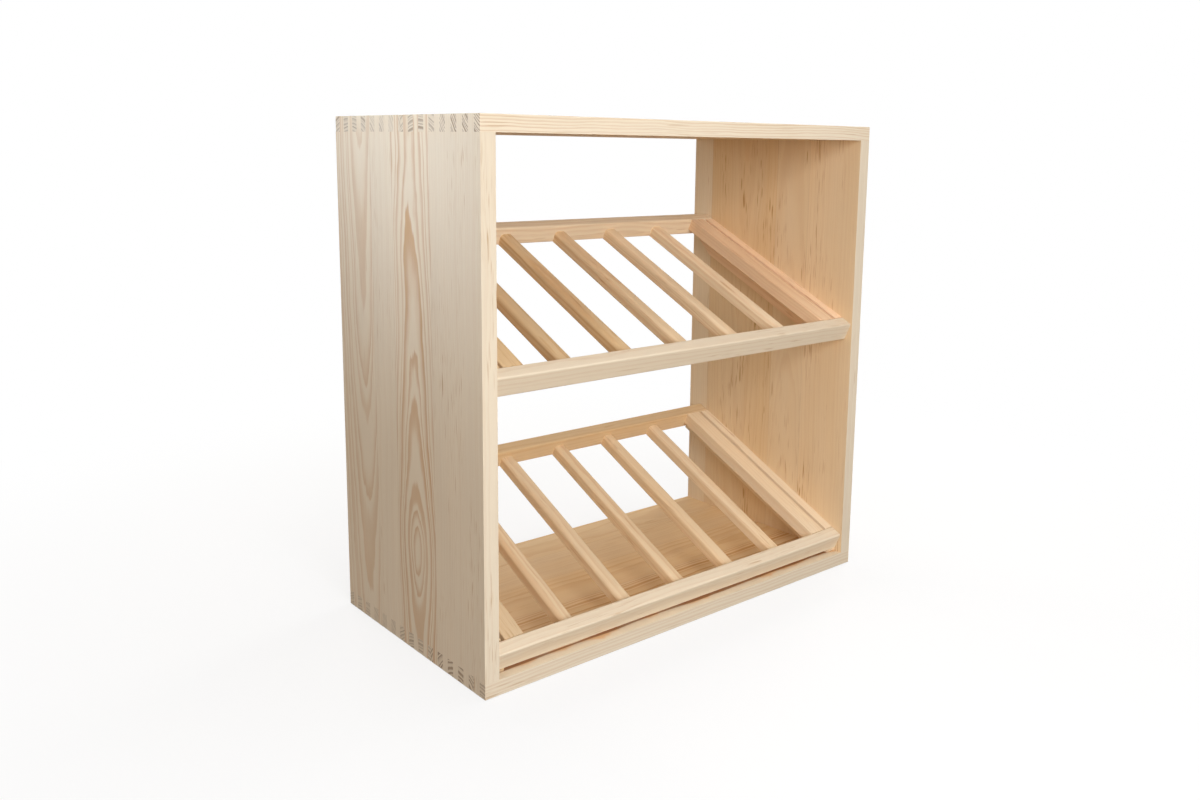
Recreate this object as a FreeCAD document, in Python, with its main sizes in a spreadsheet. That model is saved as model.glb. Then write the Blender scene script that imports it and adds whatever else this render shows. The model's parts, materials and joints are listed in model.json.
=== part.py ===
import FreeCAD, Part
import os
import Sketcher
from FreeCAD import Vector

doc = FreeCAD.newDocument("wine_rack")

# Driving dimensions in millimetres, the tilt in degrees. Each one is written here once.
DIMENSIONS = (
    ("rack_width", 680, "over the side panels"),
    ("rack_depth", 350, "front edge to back edge"),
    ("rack_height", 680, "over the top and bottom panels"),
    ("panel_thick", 20, "all four panels"),
    ("finger_count", 29, "fingers along a corner, both panels together"),
    ("tray_tilt", 25, "slope of the trays, rising to the back"),
    ("tray_front_inset", 1.5, "front rail behind the front edge of the panels"),
    ("tray_back_inset", 26.8, "top of the back rail before the back edge of the panels"),
    ("lower_tray_gap", 3.6, "under the lower front rail"),
    ("tray_spacing", 336, "lower tray to upper tray, straight up"),
    ("rail_depth", 20, "along the slope"),
    ("rail_height", 28, "square to the slope"),
    ("slat_count", 5, "narrow slats in a tray"),
    ("slat_width", 20, "narrow slat"),
    ("slat_thick", 18, "narrow slat"),
    ("end_slat_width", 28, "broad slat at each end"),
    ("end_slat_thick", 20, "broad slat at each end"),
    ("end_lane", 64.4, "broad slat to its neighbour, clear"),
    ("tenon_length", 9, "into the rail"),
    ("tenon_shoulder", 4, "all round a tenon"),
    ("bearer_thick", 16, "out from the side panel"),
    ("bearer_foot", 22, "below the seat of a rail"),
    ("nose_inset", 6, "end of an upper bearer behind the face of its rail"),
    ("nose_thick", 4, "end of an upper bearer below the bottom of the rail"),
    ("nose_run", 48, "taper from that end to the full foot"),
    ("screw_count", 2, "in a bearer"),
    ("screw_inset", 75, "first screw from the end of its bearer"),
    ("screw_length", 30, "over the head"),
    ("screw_shank", 4, "diameter"),
    ("screw_head", 8, "diameter"),
    ("screw_point", 6, "length of the tip"),
    ("edge_round", 1.6, "long edges of slats"),
    ("rail_round", 2.5, "long edges of rails"),
    ("slat_crown", 6, "upper edges of a narrow slat"),
    ("side_play", 0.5, "rail end to side panel"),
    ("seat_play", 0.4, "rail to the notch that holds it"),
    ("bearer_play", 5, "broad slat to bearer"),
    ("tenon_play", 0.1, "tenon to mortise, each way"),
    ("screw_play", 0.2, "screw to its hole, each way"),
)

sheet = doc.addObject("Spreadsheet::Sheet", "dims")
for row, (alias, number, note) in enumerate(DIMENSIONS, start=1):
    sheet.set(f"A{row}", alias)
    sheet.set(f"B{row}", str(number))
    sheet.setAlias(f"B{row}", alias)
    sheet.set(f"C{row}", note)
doc.recompute()

# Millimetres within which two things count as the same.
SLACK = 0.001

FINGERS = round(sheet.get("finger_count"))
SLATS = round(sheet.get("slat_count"))
SCREWS = round(sheet.get("screw_count"))

# Lengths that follow from the driving dimensions, as expressions over the sheet.
HALF_WIDTH = "dims.rack_width / 2"
HALF_DEPTH = "dims.rack_depth / 2"
HALF_INNER = "(dims.rack_width / 2 - dims.panel_thick)"
FINGER = f"(dims.rack_depth / {FINGERS})"
TRAY_LENGTH = (
    "((dims.rack_depth - dims.tray_front_inset - dims.tray_back_inset) / cos(dims.tray_tilt))"
)
SLAT_LENGTH = f"({TRAY_LENGTH} - 2 * dims.rail_depth)"
END_SLAT_X = (
    f"({HALF_INNER} - dims.bearer_thick - dims.bearer_play - dims.end_slat_width / 2)"
)
OUTER_SLAT_X = (
    f"({END_SLAT_X} - dims.end_slat_width / 2 - dims.end_lane - dims.slat_width / 2)"
)
SLAT_PITCH = f"(2 * {OUTER_SLAT_X} / {SLATS - 1})"
SLAT_TOP = "(dims.slat_thick - dims.rail_height)"
SEAT = "(-dims.rail_height - dims.seat_play)"
BEARER_BOTTOM = "(-dims.rail_height - dims.bearer_foot)"
NOSE_BOTTOM = "(-dims.rail_height - dims.nose_thick)"
SCREW_LEVEL = f"({BEARER_BOTTOM} / 2)"
SCREW_PITCH = f"(({TRAY_LENGTH} - 2 * dims.screw_inset) / {SCREWS - 1})"
SCREW_BITE = "(dims.screw_length - dims.bearer_thick + dims.screw_play)"
LOWER_LEVEL = (
    "(dims.panel_thick + dims.lower_tray_gap + dims.rail_height * cos(dims.tray_tilt))"
)
LEVELS = {
    "lower": LOWER_LEVEL,
    "upper": f"({LOWER_LEVEL} + dims.tray_spacing)",
}
SIDES = {"left": -1, "right": 1}


def tray_y(along, above):
    """Depth position of a point given along the slope and square to it."""
    return (
        f"-{HALF_DEPTH} + dims.tray_front_inset"
        f" + {along} * cos(dims.tray_tilt) - {above} * sin(dims.tray_tilt)"
    )


def tray_z(level, along, above):
    """Height of a point of a tray, given the same way."""
    return (
        f"{LEVELS[level]} + {along} * sin(dims.tray_tilt) + {above} * cos(dims.tray_tilt)"
    )


def new_body(label):
    body = doc.addObject("PartDesign::Body", label)
    body.Label = label
    return body


def place(body, x="0", y="0", z="0", tilted=False):
    """Bind a body's position to the sheet, tipped with the trays where asked."""
    if tilted:
        tilt = sheet.get("tray_tilt")
        body.Placement = FreeCAD.Placement(Vector(), FreeCAD.Rotation(Vector(1, 0, 0), tilt))
        body.setExpression("Placement.Rotation.Angle", "dims.tray_tilt * 1 deg")
    body.setExpression("Placement.Base.x", x)
    body.setExpression("Placement.Base.y", y)
    body.setExpression("Placement.Base.z", z)


def new_sketch(body, plane, name):
    """Sketch on one of the body's own origin planes."""
    sketch = body.newObject("Sketcher::SketchObject", f"{body.Label}_{name}")
    for feature in body.Origin.OriginFeatures:
        if feature.Role == plane:
            sketch.AttachmentSupport = [(feature, "")]
    sketch.MapMode = "FlatFace"
    return sketch


def evaluate(expression):
    """Present value of an expression over the sheet."""
    value = sheet.evalExpression(expression)
    return float(getattr(value, "Value", value))


def pin(sketch, kind, line, point, expression):
    """Hold one coordinate of a point at the value of an expression."""
    index = sketch.addConstraint(
        Sketcher.Constraint(kind, -1, 1, line, point, evaluate(expression))
    )
    sketch.setExpression(f"Constraints[{index}]", expression)


def polygon(sketch, corners):
    """Closed outline whose corners are pairs of expressions."""
    spots = [Vector(evaluate(x), evaluate(y), 0) for x, y in corners]
    first = sketch.GeometryCount
    for here, there in zip(spots, spots[1:] + spots[:1]):
        sketch.addGeometry(Part.LineSegment(here, there))
    for step in range(len(spots)):
        after = (step + 1) % len(spots)
        sketch.addConstraint(
            Sketcher.Constraint("Coincident", first + step, 2, first + after, 1)
        )
    for step, (x, y) in enumerate(corners):
        pin(sketch, "DistanceX", first + step, 1, x)
        pin(sketch, "DistanceY", first + step, 1, y)


def rectangle(sketch, left, right, low, high):
    polygon(sketch, ((left, low), (right, low), (right, high), (left, high)))


def circle(sketch, x, y, diameter):
    index = sketch.addGeometry(
        Part.Circle(Vector(evaluate(x), evaluate(y), 0), Vector(0, 0, 1), evaluate(diameter) / 2)
    )
    pin(sketch, "DistanceX", index, 3, x)
    pin(sketch, "DistanceY", index, 3, y)
    size = sketch.addConstraint(Sketcher.Constraint("Diameter", index, evaluate(diameter)))
    sketch.setExpression(f"Constraints[{size}]", diameter)


def pad(body, sketch, length, side_type="One side", reverse=False):
    feature = body.newObject("PartDesign::Pad", f"{sketch.Label}_pad")
    feature.Profile = sketch
    feature.SideType = side_type
    feature.Reversed = reverse
    feature.setExpression("Length", length)
    doc.recompute()
    return feature


def pocket(body, sketch, length=None, reverse=False):
    """Cut a sketch into its body, right through where no length is given."""
    before = body.Shape.Volume
    feature = body.newObject("PartDesign::Pocket", f"{sketch.Label}_pocket")
    feature.Profile = sketch
    feature.Reversed = reverse
    if length is None:
        feature.Type = "ThroughAll"
        feature.SideType = "Symmetric"
    else:
        feature.setExpression("Length", length)
    doc.recompute()
    if body.Shape.Volume >= before:
        raise RuntimeError(f"{feature.Label} removes nothing")
    return feature


def repeat(body, feature, sketch, axis, count, pitch):
    """Row of copies of a feature along an axis of its sketch."""
    row = body.newObject("PartDesign::LinearPattern", f"{feature.Label}_row")
    row.Originals = [feature]
    row.Direction = (sketch, [axis])
    row.Mode = "Spacing"
    body.Tip = row
    row.setExpression("Offset", pitch)
    row.Occurrences = count
    doc.recompute()


def round_long_edges(body, feature, direction, radius, wanted=None):
    """Ease the edges that run along one direction, or those at a wanted height only."""
    names = []
    for index, edge in enumerate(feature.Shape.Edges, start=1):
        start = edge.Vertexes[0].Point
        run = edge.Vertexes[-1].Point - start
        at_height = wanted is None or abs(start.z - wanted) < SLACK
        if at_height and run.cross(direction).Length < SLACK:
            names.append(f"Edge{index}")
    fillet = body.newObject("PartDesign::Fillet", f"{feature.Label}_round")
    fillet.Base = (feature, names)
    fillet.setExpression("Radius", radius)
    doc.recompute()
    return fillet


def make_level_panel(label, height):
    """Top or bottom panel, with notches at both ends for the fingers of the sides."""
    body = new_body(label)
    outline = new_sketch(body, "XY_Plane", "outline")
    rectangle(outline, f"-{HALF_WIDTH}", HALF_WIDTH, f"-{HALF_DEPTH}", HALF_DEPTH)
    pad(body, outline, "dims.panel_thick")
    notch = new_sketch(body, "XY_Plane", "notch")
    front = f"-{HALF_DEPTH} + {FINGER}"
    back = f"-{HALF_DEPTH} + 2 * {FINGER}"
    rectangle(notch, f"-{HALF_WIDTH}", f"-{HALF_INNER}", front, back)
    rectangle(notch, HALF_INNER, HALF_WIDTH, front, back)
    cut = pocket(body, notch)
    repeat(body, cut, notch, "V_Axis", FINGERS // 2, f"2 * {FINGER}")
    place(body, z=height)
    return body


def make_side_panel(side):
    """Side panel, with notches at top and bottom and blind holes for the bearer screws."""
    body = new_body(f"{side}_side_panel")
    outward = SIDES[side]
    outline = new_sketch(body, "YZ_Plane", "outline")
    rectangle(outline, f"-{HALF_DEPTH}", HALF_DEPTH, "0", "dims.rack_height")
    pad(body, outline, "dims.panel_thick", reverse=outward < 0)
    notch = new_sketch(body, "YZ_Plane", "notch")
    front = f"-{HALF_DEPTH}"
    back = f"-{HALF_DEPTH} + {FINGER}"
    rectangle(notch, front, back, "0", "dims.panel_thick")
    rectangle(notch, front, back, "dims.rack_height - dims.panel_thick", "dims.rack_height")
    cut = pocket(body, notch)
    repeat(body, cut, notch, "H_Axis", FINGERS - FINGERS // 2, f"2 * {FINGER}")
    holes = new_sketch(body, "YZ_Plane", "screw_holes")
    for level in LEVELS:
        for number in range(SCREWS):
            along = f"(dims.screw_inset + {number} * {SCREW_PITCH})"
            circle(
                holes,
                tray_y(along, SCREW_LEVEL),
                tray_z(level, along, SCREW_LEVEL),
                "dims.screw_shank + 2 * dims.screw_play",
            )
    pocket(body, holes, SCREW_BITE, reverse=outward > 0)
    place(body, x=f"{outward} * {HALF_INNER}")
    return body


def make_rail(level, end):
    """Cross bar of a tray, mortised on its inner face for every slat."""
    body = new_body(f"{level}_{end}_rail")
    at_front = end == "front"
    section = new_sketch(body, "YZ_Plane", "section")
    near, far = ("-dims.rail_depth", "0") if at_front else ("0", "dims.rail_depth")
    rectangle(section, near, far, "-dims.rail_height", "0")
    bar = pad(body, section, f"2 * ({HALF_INNER} - dims.side_play)", side_type="Symmetric")
    round_long_edges(body, bar, Vector(1, 0, 0), "dims.rail_round")
    deep = "dims.tenon_length + 2 * dims.tenon_play"
    slot = "(dims.tenon_shoulder - dims.tenon_play)"
    inner = new_sketch(body, "XZ_Plane", "slat_mortise")
    rectangle(
        inner,
        f"-{OUTER_SLAT_X} - dims.slat_width / 2 + {slot}",
        f"-{OUTER_SLAT_X} + dims.slat_width / 2 - {slot}",
        f"{SLAT_TOP} - dims.slat_thick + {slot}",
        f"{SLAT_TOP} - {slot}",
    )
    cut = pocket(body, inner, deep, reverse=at_front)
    repeat(body, cut, inner, "H_Axis", SLATS, SLAT_PITCH)
    ends = new_sketch(body, "XZ_Plane", "end_mortises")
    for sign in ("-", ""):
        middle = f"{sign}{END_SLAT_X}"
        rectangle(
            ends,
            f"{middle} - dims.end_slat_width / 2 + {slot}",
            f"{middle} + dims.end_slat_width / 2 - {slot}",
            f"-dims.end_slat_thick + {slot}",
            f"-{slot}",
        )
    pocket(body, ends, deep, reverse=at_front)
    along = "dims.rail_depth" if at_front else f"({TRAY_LENGTH} - dims.rail_depth)"
    place(body, y=tray_y(along, "0"), z=tray_z(level, along, "0"), tilted=True)
    return body


def make_slat(label, level, x, top, width, thick, crown):
    """Slat with a stub tenon at each end and its upper edges rounded to a crown."""
    body = new_body(label)
    section = new_sketch(body, "XZ_Plane", "section")
    rectangle(section, f"-{width} / 2", f"{width} / 2", f"-{thick}", "0")
    bar = pad(body, section, SLAT_LENGTH, side_type="Symmetric")
    along_bar = Vector(0, 1, 0)
    crowned = round_long_edges(body, bar, along_bar, crown, wanted=0)
    round_long_edges(body, crowned, along_bar, "dims.edge_round", wanted=-evaluate(thick))
    tenon = new_sketch(body, "XZ_Plane", "tenon")
    rectangle(
        tenon,
        f"-{width} / 2 + dims.tenon_shoulder",
        f"{width} / 2 - dims.tenon_shoulder",
        f"-{thick} + dims.tenon_shoulder",
        "-dims.tenon_shoulder",
    )
    pad(body, tenon, f"{SLAT_LENGTH} + 2 * dims.tenon_length", side_type="Symmetric")
    along = f"({TRAY_LENGTH} / 2)"
    place(body, x=x, y=tray_y(along, top), z=tray_z(level, along, top), tilted=True)
    return body


def bearer_place(body, level, side):
    """Put a body at the front top corner of a bearer, on the face of its side panel."""
    place(
        body,
        x=f"{SIDES[side]} * {HALF_INNER}",
        y=tray_y("0", "0"),
        z=tray_z(level, "0", "0"),
        tilted=True,
    )


def screw_sketch(body, side, play, end):
    """Half outline of a countersunk screw or its hole, with the corners that end it."""
    sketch = new_sketch(body, "XY_Plane", "screw_outline")
    sketch.AttachmentOffset = FreeCAD.Placement(
        Vector(0, 0, evaluate(SCREW_LEVEL)), FreeCAD.Rotation()
    )
    sketch.setExpression("AttachmentOffset.Base.z", SCREW_LEVEL)
    head_radius = f"(dims.screw_head / 2 + {play})"
    shank_radius = f"(dims.screw_shank / 2 + {play})"
    neck = "(dims.bearer_thick - (dims.screw_head - dims.screw_shank) / 2)"
    corners = [
        ("dims.bearer_thick", "0"),
        ("dims.bearer_thick", head_radius),
        (neck, shank_radius),
        (end[0], shank_radius),
        (end[1], "0"),
    ]
    inward = -SIDES[side]
    polygon(sketch, [(f"{inward} * {x}", f"dims.screw_inset + {r}") for x, r in corners])
    last = len(corners) - 1
    axis = sketch.addGeometry(
        Part.LineSegment(sketch.getPoint(0, 1), sketch.getPoint(last, 1)), True
    )
    sketch.addConstraint(Sketcher.Constraint("Coincident", axis, 1, 0, 1))
    sketch.addConstraint(Sketcher.Constraint("Coincident", axis, 2, last, 1))
    return sketch


def turn(body, kind, sketch):
    """Full turn of a sketch about its construction line, repeated for every screw."""
    feature = body.newObject(kind, f"{sketch.Label}_turn")
    feature.Profile = sketch
    feature.ReferenceAxis = (sketch, ["Axis0"])
    doc.recompute()
    repeat(body, feature, sketch, "V_Axis", SCREWS, SCREW_PITCH)


def make_bearer(level, side):
    """Board with a notch at each end for a rail, drilled for its screws.

    An upper one tapers to both ends, so that it stays hidden behind its rails. A lower one is cut
    to stand on the bottom panel instead.
    """
    label = f"{level}_{side}_bearer"
    on_floor = level == "lower"
    body = new_body(f"{label}_board" if on_floor else label)
    outline = new_sketch(body, "YZ_Plane", "outline")
    shoulder = "(dims.rail_depth + dims.seat_play)"
    if on_floor:
        front, back = "0", TRAY_LENGTH
        underside = ((front, BEARER_BOTTOM), (back, BEARER_BOTTOM))
    else:
        front, back = "dims.nose_inset", f"({TRAY_LENGTH} - dims.nose_inset)"
        underside = (
            (front, NOSE_BOTTOM),
            (f"{front} + dims.nose_run", BEARER_BOTTOM),
            (f"{back} - dims.nose_run", BEARER_BOTTOM),
            (back, NOSE_BOTTOM),
        )
    notches = (
        (back, SEAT),
        (f"{TRAY_LENGTH} - {shoulder}", SEAT),
        (f"{TRAY_LENGTH} - {shoulder}", "0"),
        (shoulder, "0"),
        (shoulder, SEAT),
        (front, SEAT),
    )
    polygon(outline, underside + notches)
    pad(body, outline, "dims.bearer_thick", reverse=SIDES[side] > 0)
    drill = screw_sketch(body, side, "dims.screw_play", ("0", "0"))
    turn(body, "PartDesign::Groove", drill)
    bearer_place(body, level, side)
    if not on_floor:
        return body
    trim = doc.addObject("Part::Cut", label)
    trim.Label = label
    trim.Base = body
    trim.Tool = floor_block
    doc.recompute()
    return trim


def make_screws(level, side):
    """Row of separate countersunk screws that hold one bearer."""
    body = new_body(f"{level}_{side}_bearer_screws")
    body.AllowCompound = True
    tip = "(dims.bearer_thick - dims.screw_length)"
    outline = screw_sketch(body, side, "0", (f"({tip} + dims.screw_point)", tip))
    turn(body, "PartDesign::Revolution", outline)
    bearer_place(body, level, side)
    return body


# Room taken by the bottom panel, which the lower bearers are cut to stand on.
floor_block = doc.addObject("Part::Box", "floor_block")
floor_block.setExpression("Length", "dims.rack_width")
floor_block.setExpression("Width", "2 * dims.rack_depth")
floor_block.setExpression("Height", "dims.panel_thick + dims.rail_height + dims.bearer_foot")
floor_block.setExpression("Placement.Base.x", f"-{HALF_WIDTH}")
floor_block.setExpression("Placement.Base.y", "-dims.rack_depth")
floor_block.setExpression("Placement.Base.z", "-dims.rail_height - dims.bearer_foot")

nodes = [
    make_level_panel("bottom_panel", "0"),
    make_level_panel("top_panel", "dims.rack_height - dims.panel_thick"),
]
for side in SIDES:
    nodes.append(make_side_panel(side))
for level in LEVELS:
    for side in SIDES:
        nodes.append(make_bearer(level, side))
        nodes.append(make_screws(level, side))
    for end in ("front", "back"):
        nodes.append(make_rail(level, end))
    for number in range(SLATS):
        nodes.append(
            make_slat(
                f"{level}_slat_{number + 1}",
                level,
                f"{number} * {SLAT_PITCH} - {OUTER_SLAT_X}",
                SLAT_TOP,
                "dims.slat_width",
                "dims.slat_thick",
                "dims.slat_crown",
            )
        )
    for side, outward in SIDES.items():
        nodes.append(
            make_slat(
                f"{level}_{side}_end_slat",
                level,
                f"{outward} * {END_SLAT_X}",
                "0",
                "dims.end_slat_width",
                "dims.end_slat_thick",
                "dims.edge_round",
            )
        )
doc.recompute()

for item in doc.Objects:
    if "Invalid" in item.State or "Error" in item.State:
        raise RuntimeError(f"{item.Label} did not compute: {item.State}")

os.makedirs("parts", exist_ok=True)
for node in nodes:
    shape = node.Shape
    if shape.isNull() or not shape.isValid():
        raise RuntimeError(f"{node.Label} has no valid shape")
    shape.exportStep(f"parts/{node.Label}.step")
    print(node.Label, len(shape.Solids), round(shape.Volume / 1000, 1), "cm3")
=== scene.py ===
# %% [markdown]
# A square wine rack in bare pine, built as a box on finger joints with two sloping slatted trays.
# The solid pieces come ready made from the construction model, in metres and in their places.
# This file gives them the looks: eased edges on the panels, real pine grain, light and a camera.

# %% Load the frame
import json
import math

import bpy
from mathutils import Matrix, Vector


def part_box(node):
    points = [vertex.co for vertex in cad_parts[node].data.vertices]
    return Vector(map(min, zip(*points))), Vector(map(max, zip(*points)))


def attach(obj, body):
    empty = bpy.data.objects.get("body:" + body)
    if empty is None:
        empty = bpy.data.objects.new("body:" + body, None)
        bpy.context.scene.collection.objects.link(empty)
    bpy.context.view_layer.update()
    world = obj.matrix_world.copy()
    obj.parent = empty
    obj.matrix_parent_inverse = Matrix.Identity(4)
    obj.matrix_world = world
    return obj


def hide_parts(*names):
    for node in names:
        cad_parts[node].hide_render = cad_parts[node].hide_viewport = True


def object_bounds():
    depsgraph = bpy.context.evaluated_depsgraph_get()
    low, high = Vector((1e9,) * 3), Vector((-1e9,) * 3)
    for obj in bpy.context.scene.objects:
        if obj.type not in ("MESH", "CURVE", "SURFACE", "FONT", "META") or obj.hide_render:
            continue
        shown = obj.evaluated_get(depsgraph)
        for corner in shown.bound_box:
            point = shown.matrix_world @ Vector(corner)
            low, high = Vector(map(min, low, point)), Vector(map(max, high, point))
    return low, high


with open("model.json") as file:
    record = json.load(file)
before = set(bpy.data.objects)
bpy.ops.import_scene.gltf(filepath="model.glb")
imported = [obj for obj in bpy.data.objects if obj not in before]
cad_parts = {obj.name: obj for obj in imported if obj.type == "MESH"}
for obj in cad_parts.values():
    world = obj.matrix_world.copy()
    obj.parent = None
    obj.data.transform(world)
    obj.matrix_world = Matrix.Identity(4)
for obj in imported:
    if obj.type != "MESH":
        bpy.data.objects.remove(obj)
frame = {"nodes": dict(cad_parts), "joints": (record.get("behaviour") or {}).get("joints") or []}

scene = bpy.context.scene
cad_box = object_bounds()
nodes = frame["nodes"]
print("nodes", len(nodes), "box", cad_box)

# %% [markdown]
# The photograph was taken with a lens that was shifted down, so its upright edges stay upright. A
# camera in Blender can shift its lens too, but every other view then keeps the shift and the rack
# leaves the middle of the picture. So this camera shifts less and tilts down a little instead. Its
# place, its turn and its focal length were worked out from the corners of the box.

# %% Camera
IMAGE_WIDTH = 1200
IMAGE_HEIGHT = 800
SENSOR_WIDTH = 36.0
FOCAL_PX = 1067.0
CENTRE_PX = (637.8, 325.0)
CAMERA_PLACE = (-0.9742, -1.1685, 0.6487)
YAW = math.radians(40.99)
PITCH = math.radians(9.58)
ROLL = math.radians(0.87)

lens = bpy.data.cameras.new("camera")
lens.sensor_width = SENSOR_WIDTH
lens.lens = FOCAL_PX / IMAGE_WIDTH * SENSOR_WIDTH
lens.shift_x = (IMAGE_WIDTH / 2 - CENTRE_PX[0]) / IMAGE_WIDTH
lens.shift_y = (CENTRE_PX[1] - IMAGE_HEIGHT / 2) / IMAGE_WIDTH
camera = bpy.data.objects.new("camera", lens)
scene.collection.objects.link(camera)
turn = (
    Matrix.Rotation(-YAW, 4, "Z")
    @ Matrix.Rotation(math.pi / 2 - PITCH, 4, "X")
    @ Matrix.Rotation(ROLL, 4, "Z")
)
camera.matrix_world = Matrix.Translation(CAMERA_PLACE) @ turn
scene.camera = camera
print("lens", round(lens.lens, 2), "mm, shift", round(lens.shift_x, 3), round(lens.shift_y, 3))

# %% [markdown]
# Every finish below is a chain of shader nodes. A chain clicked together by hand can't be read or
# repeated in a script, so small helpers make one node each and give back its output. Their values
# are numbers or the outputs of other nodes.

# %% Helpers for numbers and noise
# How much detail a noise has.
PLAIN = 0.0
SOFT = 1.0
ROUGH = 2.0
FINE = 3.0


def math_node(tree, operation, *values):
    """Math node whose inputs are numbers or sockets."""
    node = tree.nodes.new("ShaderNodeMath")
    node.operation = operation
    for socket, value in zip(node.inputs, values):
        if isinstance(value, (int, float)):
            socket.default_value = value
        else:
            tree.links.new(value, socket)
    return node.outputs[0]


def smooth_step(tree, value, low, high, bottom=0.0):
    """The bottom value below low, 1 above high, smooth between."""
    node = tree.nodes.new("ShaderNodeMapRange")
    node.interpolation_type = "SMOOTHSTEP"
    tree.links.new(value, node.inputs["Value"])
    node.inputs["From Min"].default_value = low
    node.inputs["From Max"].default_value = high
    node.inputs["To Min"].default_value = bottom
    return node.outputs[0]


def noise_node(tree, vector, waves, seed, detail=ROUGH):
    """Noise from about -0.5 to 0.5, with its waves in a metre along the grain and across it."""
    along, across = waves
    stretched = tree.nodes.new("ShaderNodeVectorMath")
    stretched.operation = "MULTIPLY"
    tree.links.new(vector, stretched.inputs[0])
    stretched.inputs[1].default_value = (along, across, across)
    node = tree.nodes.new("ShaderNodeTexNoise")
    node.noise_dimensions = "4D"
    node.inputs["Scale"].default_value = 1.0
    node.inputs["Detail"].default_value = detail
    tree.links.new(stretched.outputs[0], node.inputs["Vector"])
    tree.links.new(seed, node.inputs["W"])
    return math_node(tree, "SUBTRACT", node.outputs[0], 0.5)


print("made math_node, smooth_step and noise_node")

# %% [markdown]
# Colours and whole shaders are blended by nodes too. The last helper here asks what kind of ray has
# come. A studio background has to look white, but it must not light the rack from all sides, and
# only the kind of ray tells the two apart.

# %% Helpers for colours and shaders
# A mix node has sockets for every kind of data. These are the ones for colours.
MIX_INPUTS = (0, 6, 7)
MIX_COLOUR = 2


def blend_node(tree, share, first, second, mode="MIX"):
    """Mix of two colours, each a socket or a colour."""
    node = tree.nodes.new("ShaderNodeMix")
    node.data_type = "RGBA"
    node.blend_type = mode
    for number, value in zip(MIX_INPUTS, (share, first, second)):
        if isinstance(value, bpy.types.NodeSocket):
            tree.links.new(value, node.inputs[number])
        else:
            node.inputs[number].default_value = value
    return node.outputs[MIX_COLOUR]


def tinted(tree, colour, tint):
    """Colour multiplied by a tint."""
    return blend_node(tree, 1.0, colour, tint, "MULTIPLY")


def blend_shaders(tree, share, first, second, output):
    """Mix of two shader nodes, sent to a new output node."""
    blend = tree.nodes.new("ShaderNodeMixShader")
    tree.links.new(share, blend.inputs[0])
    tree.links.new(first.outputs[0], blend.inputs[1])
    tree.links.new(second.outputs[0], blend.inputs[2])
    tree.links.new(blend.outputs[0], tree.nodes.new(output).inputs["Surface"])


def background_mask(tree):
    """1 for rays that show the background itself: camera, glossy and transmission rays."""
    path = tree.nodes.new("ShaderNodeLightPath").outputs
    mask = math_node(tree, "MAXIMUM", path["Is Camera Ray"], path["Is Glossy Ray"])
    return math_node(tree, "MAXIMUM", mask, path["Is Transmission Ray"])


print("made blend_node, tinted, blend_shaders and background_mask")

# %% [markdown]
# The rack stands on a plain white studio floor. The floor is white to the camera and to reflections.
# Near the rack it also takes a share of real shade, so the rack keeps its soft shadow, and further
# out that share fades, so that no grey line shows where the floor ends. The other rays see a darker
# floor, because a bright one would light the rack from below.

# %% Floor
FLOOR_SIZE = 30.0
FLOOR_DROP = 0.0005
SHADOW_SHARE = 0.24
SHADOW_FADE = (0.55, 1.35)
FLOOR_SEEN = (0.95, 0.95, 0.95, 1)
FLOOR_BOUNCE = (0.22, 0.165, 0.105, 1)

bpy.ops.object.select_all(action="DESELECT")
bpy.ops.mesh.primitive_plane_add(size=FLOOR_SIZE, location=(0, 0, -FLOOR_DROP))
floor = bpy.context.object
floor.name = "floor"
floor_paint = bpy.data.materials.new("floor_white")
floor_paint.use_nodes = True
tree = floor_paint.node_tree
tree.nodes.clear()
seen = background_mask(tree)
matt = tree.nodes.new("ShaderNodeBsdfDiffuse")
tree.links.new(blend_node(tree, seen, FLOOR_BOUNCE, FLOOR_SEEN), matt.inputs["Color"])
glow = tree.nodes.new("ShaderNodeEmission")
glow.inputs["Strength"].default_value = 1.0
reach = tree.nodes.new("ShaderNodeVectorMath")
reach.operation = "LENGTH"
tree.links.new(tree.nodes.new("ShaderNodeTexCoord").outputs["Object"], reach.inputs[0])
fade = smooth_step(tree, reach.outputs["Value"], *SHADOW_FADE, 1 - SHADOW_SHARE)
blend_shaders(tree, math_node(tree, "MULTIPLY", seen, fade), matt, glow, "ShaderNodeOutputMaterial")
floor.data.materials.append(floor_paint)
print("floor", FLOOR_SIZE, "m, shade fades out at", SHADOW_FADE[1], "m")

# %% [markdown]
# Behind the rack is a white backdrop. If it also lit the rack with all its strength, every shade would
# wash out, so the rays that carry light see a weak warm fill instead. The view transform is the plain
# one, which adds no film look to the colours.

# %% World
AMBIENT = 0.16
AMBIENT_COLOUR = (1.0, 0.95, 0.90, 1)
BACKDROP_COLOUR = (1, 1, 1, 1)


def background_light(tree, colour, strength):
    """Background shader of one colour."""
    node = tree.nodes.new("ShaderNodeBackground")
    node.inputs["Color"].default_value = colour
    node.inputs["Strength"].default_value = strength
    return node


scene.view_settings.view_transform = "Standard"
world = bpy.data.worlds.new("studio")
scene.world = world
world.use_nodes = True
tree = world.node_tree
tree.nodes.clear()
fill = background_light(tree, AMBIENT_COLOUR, AMBIENT)
backdrop = background_light(tree, BACKDROP_COLOUR, 1.0)
blend_shaders(tree, background_mask(tree), fill, backdrop, "ShaderNodeOutputWorld")
print("fill", AMBIENT, "of the backdrop")

# %% [markdown]
# Six soft boxes light the rack. The key stands in front, a little to the left. A weak warm lamp and a
# narrow cool beam shade the left panel from pale at the top to brown at the foot. The beam stands
# lower than the top panel, so that it can't glare on it. The other three light the top, the right
# side and the back, for views from all round.

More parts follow.
